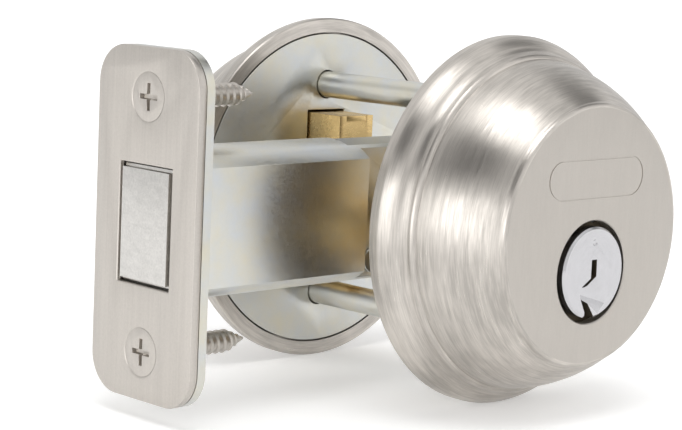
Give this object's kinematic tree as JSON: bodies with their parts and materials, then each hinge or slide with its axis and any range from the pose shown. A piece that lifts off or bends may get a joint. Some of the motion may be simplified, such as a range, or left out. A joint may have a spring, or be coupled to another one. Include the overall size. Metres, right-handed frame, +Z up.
{
  "type": "double-cylinder deadbolt door lock",
  "caption": "Deadbolt lock keyed on both sides: two tapered round cylinder housings held through a door by bolts, with a sliding bolt and faceplate between them.",
  "frame": {"origin": "centre of the outside housing at its door face, where the cross bore meets the outside of the door", "axes": "+Y into the door from outside to inside, +Z up, -X towards the door edge, the way the bolt throws"},
  "size_m": [0.0921, 0.0871, 0.0634],
  "materials": {
    "satin_nickel": "satin brushed nickel plate",
    "bright_nickel": "bright nickel plate with a fine turned grain",
    "bolt_steel": "ground steel, satin",
    "brass": "machined brass",
    "hard_steel": "hardened steel, black oxide",
    "spring_steel": "bright spring wire",
    "cast_zinc": "cast zinc alloy",
    "zinc_steel": "zinc-plated pressed steel"
  },
  "bodies": {
    "lock": {"outside_housing": "satin_nickel", "outside_cylinder_body": "brass", "outside_cylinder_screws": "zinc_steel", "outside_top_pins": "brass", "outside_pin_springs": "spring_steel", "outside_chamber_strip": "brass", "outside_drill_guards": "hard_steel", "inside_housing": "satin_nickel", "inside_cylinder_body": "brass", "inside_cylinder_screws": "zinc_steel", "inside_top_pins": "brass", "inside_pin_springs": "spring_steel", "inside_chamber_strip": "brass", "inside_drill_guards": "hard_steel", "inside_mounting_plate": "zinc_steel", "inside_set_screws": "hard_steel", "through_bolts": "zinc_steel", "faceplate": "satin_nickel", "backplate": "zinc_steel", "faceplate_screws": "satin_nickel", "bolt_case_front": "zinc_steel", "bolt_case_rear": "zinc_steel", "case_rivets": "zinc_steel", "detent_spring": "spring_steel"},
    "outside_plug": {"outside_plug": "bright_nickel", "outside_bottom_pins": "brass", "outside_plug_cap": "brass", "outside_cap_pin": "hard_steel", "outside_tailpiece": "zinc_steel"},
    "inside_plug": {"inside_plug": "bright_nickel", "inside_bottom_pins": "brass", "inside_plug_cap": "brass", "inside_cap_pin": "hard_steel", "inside_tailpiece": "zinc_steel"},
    "cam": {"cam": "cast_zinc", "cam_pin": "zinc_steel"},
    "bolt": {"bolt_head": "bolt_steel", "bolt_roller": "hard_steel", "bolt_tail": "zinc_steel", "tail_rivet": "zinc_steel"}
  },
  "joints": [
    {"name": "outside_plug_turn", "type": "hinge", "parent": "lock", "child": "outside_plug", "pos_m": [0, -0.01, -0.0061], "axis": [0, -1, 0], "range_deg": [0, 100]},
    {"name": "cam_turn", "type": "hinge", "parent": "lock", "child": "cam", "pos_m": [0, 0.02225, -0.0061], "axis": [0, -1, 0], "range_deg": [0, 100]},
    {"name": "bolt_slide", "type": "slide", "parent": "lock", "child": "bolt", "axis": [-1, 0, 0], "range_m": [0, 0.0254]},
    {"name": "inside_plug_turn", "type": "hinge", "parent": "lock", "child": "inside_plug", "pos_m": [0, 0.0545, -0.0061], "axis": [0, -1, 0], "range_deg": [0, 100]}
  ],
  "couplings": [
    {"joint": "cam_turn", "follows": "bolt_slide", "rad_per_m": 68.713},
    {"joint": "outside_plug_turn", "follows": "bolt_slide", "rad_per_m": 68.713}
  ]
}
